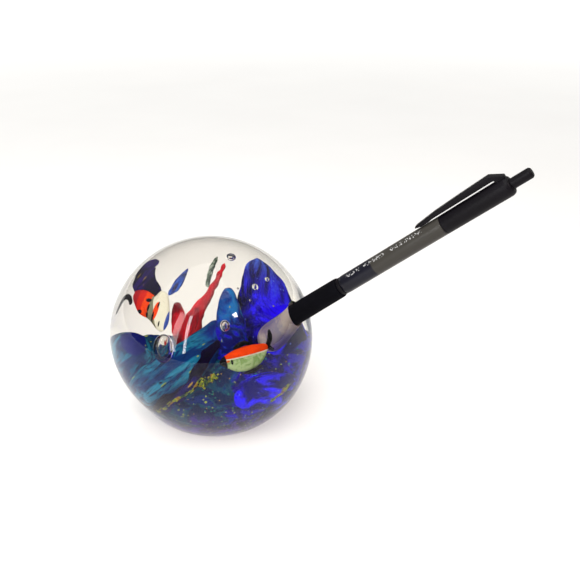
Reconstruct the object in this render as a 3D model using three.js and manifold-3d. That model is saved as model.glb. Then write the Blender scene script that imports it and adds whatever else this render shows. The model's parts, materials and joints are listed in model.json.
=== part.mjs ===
// A hand-blown glass reef paperweight with a pen socket, and the retractable pen that stands in it.
// Millimetres, +Z up. The origin is the centre of the flat base, the reef's front faces -Y, and the pen
// leans to +X and a little to -Y.
import * as THREE from 'three';
import { mergeVertices } from 'three/addons/utils/BufferGeometryUtils.js';
import Module from 'manifold-3d';

const wasm = await Module();
wasm.setup();

// Driving dimensions ---------------------------------------------------------------------------------
const GAP = 0.3;                 // clearance between pieces that meet

const GLOBE_R = 47;              // outer radius of the clear glass
const GLOBE_Z = 39;              // height of the globe's centre above the flat base
const LOWER_Z = 45.5;            // vertical semi-axis of the globe's lower half
const BASE_LEAN = 1.6;           // how far the base is pulled to one side of the globe's centre
const BASE_R = 21.5;             // radius of the ground flat
const BASE_EDGE_R = 2.2;         // rounding between the flat and the flank
const GATHER_R = 36;             // radius of the inner gather, where the coloured pieces are laid
const GLOBE_SIDES = 40;
const GATHER_SIDES = 30;

const REEF_FOOT_R = 16.5;        // the ground's disc in the flat base
const REEF_FOOT_Z = 7;
const REEF_LOW = 14;             // height of the ground at its front edge
const REEF_RIDGE = 17;           // how much higher its ridge is
const RIDGE_Y = 8;
const RIDGE_SPREAD = 24;
const REEF_CELLS = 12;

const MOUTH_EL = 25;             // where the socket's mouth is on the globe, and which way the pen leans
const PEN_TURN = -20.5;
const PEN_EL = 39;
const PEN_INSERT = 26.3;         // how much of the pen is inside the globe
const SOCKET_R = 5.2;            // the socket is in line with the pen
const SOCKET_LIP_R = 6;
const SOCKET_DEPTH = 30.4;

const PEN_LENGTH = 143;          // all along the pen from its nose
const NOSE_LENGTH = 12;
const GRIP_END = 51.2;
const HOUSING_START = 104;
const HOUSING_END = 134.5;
const CLIP_TAIL = 91.7;
const INK_LENGTH = 44;           // the refill is part used
const GRIP_R = 4.5;
const CORE_R = 3.4;              // barrel under the grip
const BARREL_R = 3.98;
const BORE_R = 2.75;
const BUTTON_R = 2.15;
const TIP_RECESS = 2;            // the ball's depth inside the nose with the point drawn in
const REFILL_R = 1.5;
const REFILL_START = 24;
const REFILL_END = 112;
const ROTOR_END = 118;
const SPRING_R = 2.0;
const SPRING_WIRE_R = 0.22;
const SPRING_TURNS = 7;
const SPRING_START = 9.6;
const PEN_SIDES = 20;

const rad = THREE.MathUtils.degToRad;
const v3 = (x, y, z) => new THREE.Vector3(x, y, z);
const v2 = (x, y) => new THREE.Vector2(x, y);
const CENTRE = v3(0, 0, GLOBE_Z);

// Solids ---------------------------------------------------------------------------------------------
function solid(geometry) {
  geometry.deleteAttribute('normal');
  geometry.deleteAttribute('uv');
  const merged = mergeVertices(geometry, 1e-4);
  const index = [...merged.index.array];
  const triVerts = [];
  for (let i = 0; i < index.length; i += 3) {
    const [a, b, c] = index.slice(i, i + 3);
    if (a !== b && b !== c && c !== a) triVerts.push(a, b, c);
  }
  return new wasm.Manifold(new wasm.Mesh({
    numProp: 3,
    vertProperties: new Float32Array(merged.attributes.position.array),
    triVerts: new Uint32Array(triVerts),
  }));
}

function meshGeometry(manifold) {
  const mesh = manifold.getMesh();
  const geometry = new THREE.BufferGeometry();
  geometry.setAttribute('position', new THREE.BufferAttribute(mesh.vertProperties, 3));
  geometry.setIndex(new THREE.BufferAttribute(mesh.triVerts, 1));
  geometry.computeVertexNormals();
  return geometry;
}

const joined = (solids) => solids.reduce((sum, next) => sum.add(next));

// The biggest body that a cut leaves, without its offcuts.
const mainBody = (manifold) => manifold.decompose().reduce(
  (big, next) => (next.volume() > big.volume() ? next : big));

// A turned shape about Z from (radius, height) points that run upwards.
function turned(points, sides) {
  return new THREE.LatheGeometry(points.map(([r, z]) => v2(r, z)), sides).rotateX(Math.PI / 2);
}

// A ball stretched to three semi-axes.
function ellipsoid(semi, wide = 14, high = 10) {
  return new THREE.SphereGeometry(1, wide, high).rotateX(Math.PI / 2).scale(semi.x, semi.y, semi.z);
}

// A branch of round glass on a smooth curve through the points, each with its own radius: a turned
// rod with round ends, bent along the curve.
function limb(points, radii, grow = 0, sides = 8) {
  const curve = new THREE.CatmullRomCurve3(points);
  const rings = points.length - 1;
  const frames = curve.computeFrenetFrames(rings, false);
  const profile = radii.map((r, i) => [r + grow, i]);
  const rod = turned([[0, -1], ...profile, [0, rings + 1]], sides);
  const place = rod.attributes.position;
  for (let i = 0; i < place.count; i += 1) {
    const ring = THREE.MathUtils.clamp(Math.round(place.getZ(i)), 0, rings);
    const past = place.getZ(i) - ring;           // -1 or 1 at the two end points, 0 on the rings
    const at = curve.getPoint(ring / rings)
      .addScaledVector(frames.tangents[ring], past * 0.7 * (radii[ring] + grow))
      .addScaledVector(frames.normals[ring], place.getX(i))
      .addScaledVector(frames.binormals[ring], place.getY(i));
    place.setXYZ(i, at.x, at.y, at.z);
  }
  return solid(rod);
}

// Half of space as a big block, on the side of the plane x = at (before the placing) that `side` gives.
function halfBlock(at, side) {
  const size = 60;
  return new THREE.BoxGeometry(size, size, size).translate(at + side * size / 2, 0, 0);
}

// Places on the inner gather: `east` round from the front, `north` up from the equator. In the local
// frame x runs east, z north and y inwards, and `turn` lifts x towards z.
function onGather(east, north, turn = 0, radius = GATHER_R) {
  const rotation = new THREE.Matrix4().makeRotationFromEuler(
    new THREE.Euler(rad(-north), rad(-turn), rad(east), 'ZXY'));
  const outward = v3(0, -radius, 0).applyMatrix4(rotation).add(CENTRE);
  return rotation.setPosition(outward);
}

// Materials ------------------------------------------------------------------------------------------
const glass = (color, opacity = 1) => new THREE.MeshStandardMaterial(
  { color, roughness: 0.03, metalness: 0, transparent: opacity < 1, opacity });
const plastic = (color, roughness = 0.5) => new THREE.MeshStandardMaterial(
  { color, roughness, metalness: 0 });
const metal = (color) => new THREE.MeshStandardMaterial({ color, roughness: 0.25, metalness: 1 });

const group = new THREE.Group();
const globe = new THREE.Group();
globe.position.x = -BASE_LEAN;
group.add(globe);

function addGlass(name, manifold, material) {
  const mesh = new THREE.Mesh(meshGeometry(mainBody(manifold)), material);
  mesh.name = name;
  globe.add(mesh);
}

// The globe's outside --------------------------------------------------------------------------------
// Below the centre the glass leans: every level is pushed towards +X, most at the base.
function leaned(geometry) {
  const place = geometry.attributes.position;
  for (let i = 0; i < place.count; i += 1) {
    const below = Math.max(0, (GLOBE_Z - place.getZ(i)) / GLOBE_Z);
    place.setX(i, place.getX(i) + BASE_LEAN * below * below);
  }
  return geometry;
}

function globeProfile() {
  const flank = (a) => [GLOBE_R * Math.cos(a), GLOBE_Z - LOWER_Z * Math.sin(a)];
  const lowest = Math.asin((GLOBE_Z - BASE_EDGE_R) / LOWER_Z);
  const [edgeR, edgeZ] = flank(lowest);
  const points = [[0, 0], [BASE_R * 0.7, 0], [BASE_R, 0], [(BASE_R + edgeR) / 2 + 0.35, edgeZ * 0.3]];
  const rows = 8;
  for (let i = 0; i < rows; i += 1) points.push(flank(lowest * (1 - i / rows)));
  for (let i = 0; i < 11; i += 1) {
    const a = (i / 11) * Math.PI / 2;
    points.push([GLOBE_R * Math.cos(a), GLOBE_Z + GLOBE_R * Math.sin(a)]);
  }
  return [...points, [0, GLOBE_Z + GLOBE_R]];
}

const globeSolid = solid(leaned(turned(globeProfile(), GLOBE_SIDES)));
const gatherBall = (radius) => solid(new THREE.SphereGeometry(radius, GATHER_SIDES, GATHER_SIDES / 2)
  .rotateX(Math.PI / 2).translate(0, 0, GLOBE_Z));

// The pen socket and the pen's place ------------------------------------------------------------------
const leanDirection = (elevation) => v3(Math.cos(rad(elevation)), 0, Math.sin(rad(elevation)))
  .applyAxisAngle(v3(0, 0, 1), rad(PEN_TURN));
const penAxis = leanDirection(PEN_EL);
const mouth = CENTRE.clone().addScaledVector(leanDirection(MOUTH_EL), GLOBE_R);
const penNose = mouth.clone().addScaledVector(penAxis, -PEN_INSERT);

function socketCutter() {
  const past = SOCKET_DEPTH + 8;
  const points = [[0, 0], [2.4, 0.5], [4.2, 2], [SOCKET_R - 0.2, 4.2], [SOCKET_R, 7],
    [SOCKET_R, SOCKET_DEPTH - 2.5], [SOCKET_LIP_R, SOCKET_DEPTH], [SOCKET_LIP_R + 3.5, past], [0, past]];
  const cutter = turned(points, 24).rotateY(rad(90 - PEN_EL)).rotateZ(rad(PEN_TURN));
  const bottom = mouth.clone().addScaledVector(penAxis, -SOCKET_DEPTH);
  return solid(cutter.translate(bottom.x, bottom.y, bottom.z));
}
const socket = socketCutter();

// The coloured ground ---------------------------------------------------------------------------------
function reefHeight(x, y) {
  const ridge = Math.exp(-(((y - RIDGE_Y) / RIDGE_SPREAD) ** 2));
  const swell = 1.3 * Math.sin(x / 6 + 1) * Math.cos(y / 7);
  return REEF_LOW + REEF_RIDGE * ridge + swell;
}

// The ground fills the gather below its surface; `grow` raises that surface.
function reefMound(grow) {
  const span = 2 * (GATHER_R + 4);
  const block = new THREE.BoxGeometry(span, span, 10, REEF_CELLS, REEF_CELLS, 1);
  const place = block.attributes.position;
  for (let i = 0; i < place.count; i += 1) {
    const height = reefHeight(place.getX(i), place.getY(i)) + grow * 1.4;
    place.setZ(i, place.getZ(i) > 0 ? height : -5);
  }
  return solid(block);
}

// The disc by which the ground reaches the flat base.
function reefFoot(grow) {
  const under = grow > 0 ? 1 : 0;
  const long = REEF_FOOT_Z + under;
  const disc = new THREE.CylinderGeometry(REEF_FOOT_R + 2 + grow, REEF_FOOT_R + grow, long, 32);
  return solid(leaned(disc.rotateX(Math.PI / 2).translate(0, 0, REEF_FOOT_Z / 2 - under / 2)));
}

// Lobes and peaks of coloured glass that rise from the ground.
const lobes = {
  teal_wave: (g) => limb(
    [v3(-25, -10, 22), v3(-17, -6, 25), v3(-8, -1, 30), v3(-1, 4, 35), v3(3, 7, 40)],
    [6.5, 7.5, 6.5, 4.8, 2.6], g, 14),
  left_mound: (g) => solid(ellipsoid(v3(8.5 + g, 10 + g, 12 + g)).translate(-25, 4, 25.8)),
  violet_band: (g) => limb(
    [v3(-18.5, -20, 19), v3(-10.4, -10, 24.6), v3(-5.1, -6, 30.4), v3(-1.8, -3, 33.7), v3(2.2, 1, 37.3)],
    [2.4, 2.8, 2.6, 2.2, 1.6], g, 12),
  cobalt_drift: (g) => solid(ellipsoid(v3(12 + g, 11 + g, 7 + g)).translate(19, -9, 22)),
  cobalt_peak: (g) => solid(peak(15.5, 12, 22, 63.5, 11.5, 7.2, g)),
  azure_peak: (g) => solid(peak(5, 3.2, 22, 52.5, 6.8, 4.4, g)),
};

// A pulled point of glass: wide below, narrowing in one long curve to a rounded tip.
function peak(x, y, foot, top, wide, deep, grow) {
  const height = top - foot;
  const points = [[0, -grow]];
  for (let i = 0; i < 7; i += 1) {
    const t = i / 7;
    points.push([Math.cos(t * Math.PI / 2) ** 0.62 + grow / deep, t * height]);
  }
  points.push([0.18 + grow / deep, height - 0.4], [0, height + grow]);
  return turned(points, 14).scale(wide, deep, 1).translate(x, y, foot);
}

// The pieces that float above the ground --------------------------------------------------------------
const redCoral = (g) => joined([
  limb([v3(-7.5, 10, 29), v3(-6.2, 10, 36), v3(-4.3, 10, 43), v3(-0.6, 10, 48.5), v3(2.4, 10, 55),
    v3(4.4, 10, 61)], [3, 2.8, 1.9, 1.4, 1.1, 0.8], g),
  limb([v3(-7.6, 10, 34.5), v3(-10.4, 10, 38.5), v3(-12.1, 10, 43.6)], [2.6, 2.3, 1.2], g),
]);

function laidBlade(east, north, turn, semi) {
  return (g) => solid(ellipsoid(v3(semi.x + g, semi.y + g, semi.z + g), 12, 8)
    .applyMatrix4(onGather(east, north, turn)));
}
const blueLeaf = laidBlade(-35.5, 61, 88, v3(6.6, 1.1, 2.3));
const indigoWisp = laidBlade(-84, 50, 4, v3(8.5, 1.3, 4.8));

const smokeStrand = (g) => limb(
  [v3(1.2, -17.7, 70.3), v3(1.6, -12.5, 72.7), v3(2.6, -7, 74.2), v3(3.8, -1.5, 74.8)],
  [0.8, 1.0, 0.9, 0.5], g, 8);

// Frit trails: thin threads of crushed glass beside the band, on the ground and beside the drift.
function fritTrail(points, radius) {
  const radii = points.map((_, i) => (i === 0 || i === points.length - 1 ? 0.6 : 1) * radius);
  return (g) => limb(points.map((point) => v3(...point)), radii, g, 8);
}
const fritTrails = {
  frit_trail_left: fritTrail([[-19, -23.4, 20], [-13.8, -18, 22.8], [-6.4, -13, 26], [-2.9, -10.4, 29.4]], 0.9),
  frit_trail_middle: fritTrail([[-3.2, -8.8, 26.2], [0.2, -6.6, 28.2], [2.6, -6.4, 28.4], [5, -9, 27]], 1),
  frit_trail_right: fritTrail([[22.8, -20.6, 22.2], [27, -17.2, 24.4], [29.6, -13.7, 26.2]], 0.8),
};

// Fish, each drawn in its local frame: nose at -x, back up at +z, flank towards the viewer.
const BACK_SHARE = 0.6;
const fishOneAt = onGather(25, 13, 8);
const fishTwoAt = onGather(-48, 37, 14);
const inFish = (place, geometry) => solid(geometry.applyMatrix4(place));

// A fish with a deep belly and a flat back.
function flatBacked(semi) {
  const body = ellipsoid(semi);
  const place = body.attributes.position;
  for (let i = 0; i < place.count; i += 1) {
    place.setZ(i, place.getZ(i) * (place.getZ(i) > 0 ? BACK_SHARE : 1));
  }
  return body;
}
const fishOneBody = (g) => inFish(fishOneAt, flatBacked(v3(10.4 + g, 2.3 + g, 4.9 + g)));
const fishTwoBody = (g) => inFish(fishTwoAt, ellipsoid(v3(9.4 + g, 2.2 + g, 7.2 + g)));

function localLimb(place, points, radii, g) {
  return limb(points.map(([x, y, z]) => v3(x, y, z).applyMatrix4(place)), radii, g, 8);
}
const fishOneFins = {
  fish_one_dorsal_fin: (g) => localLimb(fishOneAt, [[-2.6, 0, 4], [0, 0, 4.9], [3, 0, 4.3]],
    [0.6, 1.1, 0.6], g),
  fish_one_pelvic_fin: (g) => localLimb(fishOneAt, [[-1.4, 0, -6.2], [2.4, 0, -6.5], [6, 0, -5.9]],
    [0.5, 1, 0.5], g),
  fish_one_tail: (g) => joined([
    localLimb(fishOneAt, [[11.2, 0, 0.4], [13.2, 0.6, 3.2], [13.8, 1.4, 6.4]], [1.0, 1.1, 0.5], g),
    localLimb(fishOneAt, [[11.2, 0, 0.4], [13.6, 1.4, -2.4]], [1.0, 0.6], g)]),
};
const fishTwoFins = {
  fish_two_tail: (g) => localLimb(fishTwoAt,
    [[-10.9, 0.5, 1.2], [-14.5, 2.6, 3.8], [-19, 5.7, 3.4], [-22.3, 8, -2.8]],
    [0.9, 1.1, 1.0, 0.5], g),
  fish_two_top_fin: (g) => localLimb(fishTwoAt, [[-1.5, 0, 8.4], [0.5, 0, 8.7], [2.6, 0, 8.3]],
    [0.6, 0.9, 0.6], g),
};

const fishPart = (place, body, blocks) => blocks.reduce(
  (rest, block) => rest.intersect(inFish(place, block)), body(0));
const upright = (geometry) => geometry.rotateY(-Math.PI / 2);

// Ground, lobes and laid pieces, then the clear glass that is cut to them ------------------------------
const gather = gatherBall(GATHER_R);
const groundCut = reefMound(GAP);
const fishOneCut = fishOneBody(GAP);
const fishTwoCut = fishTwoBody(GAP);
const pockets = [fishOneCut, fishTwoCut];

addGlass('reef_base', reefMound(0).intersect(gather).add(reefFoot(0)), glass(0x12324a));

const lobeColors = { teal_wave: 0x1f7f9c, left_mound: 0x1d5fa8, violet_band: 0x2a1470,
  cobalt_drift: 0x2010d8, cobalt_peak: 0x1a0fae, azure_peak: 0x1b58b8 };
let taken = groundCut;
for (const [name, shape] of Object.entries(lobes)) {
  addGlass(name, shape(0).intersect(gather).subtract(taken), glass(lobeColors[name]));
  taken = taken.add(shape(GAP));
}

function addLaid(name, shape, color, keepClear) {
  addGlass(name, shape(0).subtract(keepClear), glass(color));
  pockets.push(shape(GAP));
}
for (const [name, shape] of Object.entries(fritTrails)) addLaid(name, shape, 0xa8b23c, taken);
addLaid('red_coral', redCoral, 0xc01828, taken);
addLaid('blue_leaf', blueLeaf, 0x1c3fa0, taken);
addLaid('indigo_wisp', indigoWisp, 0x1d1a66, fishTwoCut);
addLaid('smoke_strand', smokeStrand, 0x6f7a6c, taken);
for (const [name, shape] of Object.entries(fishOneFins)) addLaid(name, shape, 0x101014, fishOneCut);
for (const [name, shape] of Object.entries(fishTwoFins)) addLaid(name, shape, 0x141418, fishTwoCut);

const HEAD_AT = -7.6;
addGlass('fish_one_head', fishPart(fishOneAt, fishOneBody, [halfBlock(HEAD_AT - GAP, -1)]),
  glass(0x0c0c10));
addGlass('fish_one_back', fishPart(fishOneAt, fishOneBody,
  [halfBlock(HEAD_AT, 1), upright(halfBlock(GAP / 2, 1))]), glass(0xdc4412));
addGlass('fish_one_belly', fishPart(fishOneAt, fishOneBody,
  [halfBlock(HEAD_AT, 1), upright(halfBlock(-GAP / 2, -1))]), glass(0x86a866));

const FACE_AT = 3.4;
const STRIPE_AT = -0.6;
addGlass('fish_two_face', fishPart(fishTwoAt, fishTwoBody, [halfBlock(FACE_AT + GAP, 1)]),
  glass(0xe6e4dc));
addGlass('fish_two_stripe', fishPart(fishTwoAt, fishTwoBody,
  [halfBlock(FACE_AT, -1), halfBlock(STRIPE_AT + GAP, 1)]), glass(0xd8601c));
addGlass('fish_two_flank', fishPart(fishTwoAt, fishTwoBody, [halfBlock(STRIPE_AT, -1)]),
  glass(0xc23020));

const laidCut = joined(pockets);
addGlass('clear_core', gather.subtract(taken).subtract(laidCut).subtract(socket), glass(0xe8e6de, 0.3));
const hollow = gatherBall(GATHER_R + GAP).add(reefFoot(GAP)).add(laidCut).add(socket);
addGlass('clear_casing', globeSolid.subtract(hollow), glass(0xe8e6de, 0.3));

// The pen ---------------------------------------------------------------------------------------------
// In the pen's own group Z runs from the nose to the button and the clip is on the -X side.
const pen = new THREE.Group();
pen.position.copy(penNose);
pen.rotation.set(0, rad(90 - PEN_EL), rad(PEN_TURN), 'ZYX');
globe.add(pen);

function addPen(name, geometry, material) {
  const mesh = new THREE.Mesh(geometry, material);
  mesh.name = name;
  pen.add(mesh);
}

const BLACK = 0x17171a;

// Nose cone, with a narrow hole for the point and a wider bore for the spring.
addPen('pen_nose', turned([[1.3, 0], [1.9, 0.2], [2.9, 5], [3.75, 9.5], [3.9, NOSE_LENGTH - GAP],
  [BORE_R, NOSE_LENGTH - GAP], [BORE_R, SPRING_START - GAP], [1.5, SPRING_START - 1.2], [1.3, 0]],
PEN_SIDES), plastic(BLACK, 0.35));

addPen('pen_grip', turned([[CORE_R + GAP, NOSE_LENGTH], [4.1, NOSE_LENGTH], [GRIP_R, NOSE_LENGTH + 1.2],
  [GRIP_R + 0.08, 30], [GRIP_R - 0.12, GRIP_END - 0.8], [4.15, GRIP_END], [CORE_R + GAP, GRIP_END],
  [CORE_R + GAP, NOSE_LENGTH]], PEN_SIDES), plastic(0x101012, 0.85));

addPen('pen_barrel', turned([[BORE_R, NOSE_LENGTH], [CORE_R, NOSE_LENGTH], [CORE_R, GRIP_END + 1.9],
  [BARREL_R - 0.25, GRIP_END + 1.9], [BARREL_R, GRIP_END + 2.6], [BARREL_R, HOUSING_START - GAP],
  [BORE_R, HOUSING_START - GAP], [BORE_R, NOSE_LENGTH]], PEN_SIDES), plastic(BLACK, 0.3));

addPen('pen_collar', turned([[CORE_R + GAP, GRIP_END + GAP], [3.85, GRIP_END + GAP],
  [3.85, GRIP_END + 1.6], [CORE_R + GAP, GRIP_END + 1.6], [CORE_R + GAP, GRIP_END + GAP]], PEN_SIDES),
plastic(0x0b0b0d, 0.3));

// Clip housing: the top moulding that carries the clip's foot and guides the button.
const CLIP_FOOT = { from: 129.9, to: 134, inner: 3.4, half: 1.7 };
const CLIP_OUT = 7.6;            // the clip's highest point, out from the pen's axis
const CLIP_PAD = 99.2;           // below here the clip's end thickens to press on the pocket's cloth
function clipPocket() {
  const { from, to, inner, half } = CLIP_FOOT;
  const block = new THREE.BoxGeometry(6, 2 * (half + GAP), to - from + 5 * GAP);
  return solid(block.translate(-(inner - GAP) - 3, 0, (from + to + GAP) / 2));
}
const housingTube = solid(turned([[BUTTON_R + GAP, HOUSING_END - 4], [BORE_R, HOUSING_END - 6],
  [BORE_R, HOUSING_START], [BARREL_R, HOUSING_START], [BARREL_R + 0.1, HOUSING_END - 3],
  [BARREL_R - 0.5, HOUSING_END - 0.6], [BARREL_R - 0.9, HOUSING_END],
  [BUTTON_R + GAP, HOUSING_END], [BUTTON_R + GAP, HOUSING_END - 4]], PEN_SIDES));
addPen('clip_housing', meshGeometry(housingTube.subtract(clipPocket())), plastic(BLACK, 0.45));

// The clip is drawn from the side: a foot at the housing's end, a long arm and a pad at its tail.
function clipGeometry() {
  const { from, to, inner, half } = CLIP_FOOT;
  const side = new THREE.Shape([v2(inner, from), v2(5.2, from), v2(5.3, from - 2), v2(5.0, CLIP_PAD),
    v2(4.35, CLIP_PAD - 1.4), v2(4.35, CLIP_TAIL + 1.2), v2(4.6, CLIP_TAIL), v2(5.5, CLIP_TAIL + 0.7),
    v2(6.5, 104), v2(7.1, 116), v2(CLIP_OUT, from - 1), v2(4.6, to), v2(inner, to)]);
  const clip = new THREE.ExtrudeGeometry(side, { depth: 2 * half, bevelEnabled: false });
  // Shape x is the distance out from the axis and shape y the place along the pen.
  return clip.translate(0, 0, -half).rotateX(Math.PI / 2).rotateZ(Math.PI);
}
addPen('pen_clip', clipGeometry(), plastic(BLACK, 0.4));

addPen('push_button', turned([[0, ROTOR_END + GAP], [2.35, ROTOR_END + GAP], [2.35, 128],
  [BUTTON_R, 128.6], [BUTTON_R, PEN_LENGTH - 0.7], [BUTTON_R - 0.55, PEN_LENGTH], [0, PEN_LENGTH]],
PEN_SIDES), plastic(BLACK, 0.35));

// The rotary cam that latches the refill out, with six teeth facing the button.
function camRotor() {
  const drum = solid(turned([[0, REFILL_END + GAP], [2.35, REFILL_END + GAP], [2.35, ROTOR_END - 1.2],
    [1.2, ROTOR_END - 1.2], [1.2, ROTOR_END], [0, ROTOR_END]], 18));
  const teeth = [];
  for (let i = 0; i < 6; i += 1) {
    const tooth = new THREE.CylinderGeometry(0.05, 0.55, 1.2, 5);
    tooth.rotateX(Math.PI / 2).translate(1.75, 0, ROTOR_END - 0.65).rotateZ(i * Math.PI / 3);
    teeth.push(solid(tooth));
  }
  return drum.add(joined(teeth));
}
addPen('cam_rotor', meshGeometry(camRotor()), plastic(0xd8d4c8, 0.4));

addPen('refill_tube', turned([[1.15, REFILL_START + GAP], [REFILL_R, REFILL_START + GAP],
  [REFILL_R, REFILL_END], [1.15, REFILL_END], [1.15, REFILL_START + GAP]], 14), plastic(0xc9c4b4, 0.3));
addPen('ink_column', new THREE.CylinderGeometry(0.85, 0.85, INK_LENGTH, 10)
  .rotateX(Math.PI / 2).translate(0, 0, REFILL_START + 2 + INK_LENGTH / 2), plastic(0x0a0a14, 0.1));
addPen('refill_point', turned([[0, TIP_RECESS + 0.8], [0.45, TIP_RECESS + 0.8], [1.0, TIP_RECESS + 3.6],
  [1.1, 9], [1.1, REFILL_START - 1.2], [REFILL_R, REFILL_START - 1.2], [REFILL_R, REFILL_START],
  [0, REFILL_START]], 14), metal(0xc8a860));
addPen('tip_ball', new THREE.SphereGeometry(0.5, 10, 6).translate(0, 0, TIP_RECESS), metal(0xb8b8bc));

// Return spring: a helix that bears on the nose's inner step and on the refill's shoulder.
class SpringPath extends THREE.Curve {
  getPoint(t, target = new THREE.Vector3()) {
    const a = t * SPRING_TURNS * 2 * Math.PI;
    const low = SPRING_START + SPRING_WIRE_R + 0.1;
    const high = REFILL_START - 1.2 - GAP - SPRING_WIRE_R;
    return target.set(SPRING_R * Math.cos(a), SPRING_R * Math.sin(a), low + t * (high - low));
  }
}
function springGeometry() {
  const wire = new THREE.Shape();
  wire.absarc(0, 0, SPRING_WIRE_R, 0, 2 * Math.PI, false);
  return new THREE.ExtrudeGeometry(wire, { steps: SPRING_TURNS * 9, curveSegments: 3,
    extrudePath: new SpringPath(), bevelEnabled: false });
}
addPen('return_spring', springGeometry(), metal(0x9a9aa0));

export default group;
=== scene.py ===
# %% [markdown]
# A glass reef paperweight and its pen.
# The globe is clear glass with coloured glass inside it: a ground, a sweeping wave, blue peaks, a
# red coral branch and two small fish. A socket in its side holds a retractable pen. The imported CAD
# model fixes the sizes and places, so this lesson starts from it and adds the finer shapes, the
# surfaces and the finish.
# %% Load the frame
import json
import math
import random
import bmesh
import bpy
from mathutils import Matrix, Vector, noise


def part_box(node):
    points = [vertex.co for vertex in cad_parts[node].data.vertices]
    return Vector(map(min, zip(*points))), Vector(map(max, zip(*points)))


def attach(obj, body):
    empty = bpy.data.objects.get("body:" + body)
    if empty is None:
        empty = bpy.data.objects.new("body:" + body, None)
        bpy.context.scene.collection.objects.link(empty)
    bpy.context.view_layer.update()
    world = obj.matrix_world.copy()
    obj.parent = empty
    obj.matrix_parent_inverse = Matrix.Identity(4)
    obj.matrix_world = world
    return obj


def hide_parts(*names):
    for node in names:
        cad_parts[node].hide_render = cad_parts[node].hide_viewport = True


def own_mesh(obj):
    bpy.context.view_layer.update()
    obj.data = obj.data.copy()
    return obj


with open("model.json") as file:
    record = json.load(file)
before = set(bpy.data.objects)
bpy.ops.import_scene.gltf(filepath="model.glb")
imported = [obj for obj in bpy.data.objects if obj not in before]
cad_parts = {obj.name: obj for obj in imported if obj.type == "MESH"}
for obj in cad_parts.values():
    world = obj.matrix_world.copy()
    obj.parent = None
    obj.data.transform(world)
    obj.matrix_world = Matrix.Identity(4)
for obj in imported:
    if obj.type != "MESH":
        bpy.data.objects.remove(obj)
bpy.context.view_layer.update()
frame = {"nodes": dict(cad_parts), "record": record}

MM = 0.001

# %% [markdown]
# Where things are. The globe's centre and radius come from the clear casing's box, and the pen's
# own axes come from its slide joint and its ball. Everything later is placed from these few
# values.
# %% Places read from the frame
casing_low, casing_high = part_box("clear_casing")
GLOBE_R = (casing_high.x - casing_low.x) / 2
GLOBE_C = Vector(((casing_low.x + casing_high.x) / 2, 0, casing_high.z - GLOBE_R))
GATHER_R = 36 * MM

joints = {j["name"]: j for j in frame["record"]["behaviour"]["joints"]}
PEN_AXIS = Vector(joints["pen_lift"]["axis"]).normalized()
CLIP_HINGE = Vector(joints["clip_flex"]["axis"]).normalized()
ball_low, ball_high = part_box("tip_ball")
PEN_NOSE = (ball_low + ball_high) / 2 - PEN_AXIS * 2 * MM
PEN = Matrix((CLIP_HINGE.cross(PEN_AXIS), CLIP_HINGE, PEN_AXIS)).transposed().to_4x4()
PEN.translation = PEN_NOSE


def at_globe(x, y, z):
    """A place given in millimetres from the globe's axis, with z up from the base."""
    return Vector((GLOBE_C.x + x * MM, y * MM, z * MM))


def all_at_globe(*places):
    return [at_globe(*place) for place in places]


print("globe radius, mm:", round(GLOBE_R / MM, 2))
print("pen nose, mm:", [round(v / MM, 1) for v in PEN_NOSE])

# %% [markdown]
# The camera stands in front of the reef and looks down a little, far enough back for a mild
# perspective. It aims between the globe and the pen, so that both are in view.
# %% Camera
VIEW_ELEVATION = math.radians(25)
VIEW_DISTANCE = 373.4 * MM
VIEW_ASIDE = 36.5        # the aim, in millimetres from the globe's centre towards the pen
VIEW_RAISE = 21.7        # and upwards in the picture
VIEW_LENS = 49.66
view_back = Vector((0, -math.cos(VIEW_ELEVATION), math.sin(VIEW_ELEVATION)))
view_up = Vector((0, math.sin(VIEW_ELEVATION), math.cos(VIEW_ELEVATION)))
view_aim = GLOBE_C + Vector((VIEW_ASIDE * MM, 0, 0)) + view_up * VIEW_RAISE * MM

camera = bpy.data.objects.new("camera", bpy.data.cameras.new("camera"))
camera.data.lens = VIEW_LENS
camera.data.sensor_width = 36
camera.location = view_aim + view_back * VIEW_DISTANCE
camera.rotation_euler = (math.pi / 2 - VIEW_ELEVATION, 0, 0)
camera.data.clip_start = 0.01
bpy.context.scene.collection.objects.link(camera)
bpy.context.scene.camera = camera
bpy.context.scene.view_settings.view_transform = "Standard"
print("camera at, mm:", [round(v / MM) for v in camera.location])


# %% [markdown]
# Materials are small node graphs. These helpers keep each later recipe to a few lines: one makes a
# node, one a noise, one a colour ramp, one mixes two colours and one makes the main shader.
# %% Node helpers
def new_material(name):
    material = bpy.data.materials.new(name)
    material.use_nodes = True
    material.node_tree.nodes.clear()
    return material, material.node_tree


def node(tree, kind, links=None, **values):
    """A node with its properties, its unlinked inputs and its links (input name to socket)."""
    made = tree.nodes.new(kind)
    for key, value in values.items():
        if key in made.inputs:
            made.inputs[key].default_value = value
        else:
            setattr(made, key, value)
    for key, socket in (links or {}).items():
        tree.links.new(socket, made.inputs[key])
    return made


def mapped(tree, **values):
    """Object coordinates moved, turned and scaled by a mapping node."""
    coordinates = node(tree, "ShaderNodeTexCoord").outputs["Object"]
    return node(tree, "ShaderNodeMapping", {"Vector": coordinates}, **values).outputs["Vector"]


def noise_field(tree, vector, scale, detail=4.0, distortion=0.0, roughness=0.5):
    made = node(tree, "ShaderNodeTexNoise", {"Vector": vector}, Scale=scale, Detail=detail,
                Distortion=distortion, Roughness=roughness)
    return made.outputs["Fac"]


def ramp(tree, factor, stops, interpolation="LINEAR"):
    """A colour ramp from (position, (r, g, b)) stops."""
    made = node(tree, "ShaderNodeValToRGB", {"Fac": factor})
    elements = made.color_ramp.elements
    made.color_ramp.interpolation = interpolation
    while len(elements) < len(stops):
        elements.new(0.5)
    for element, (position, colour) in zip(elements, stops):
        element.position = position
        element.color = (*colour, 1)
    return made.outputs["Color"]


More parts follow.
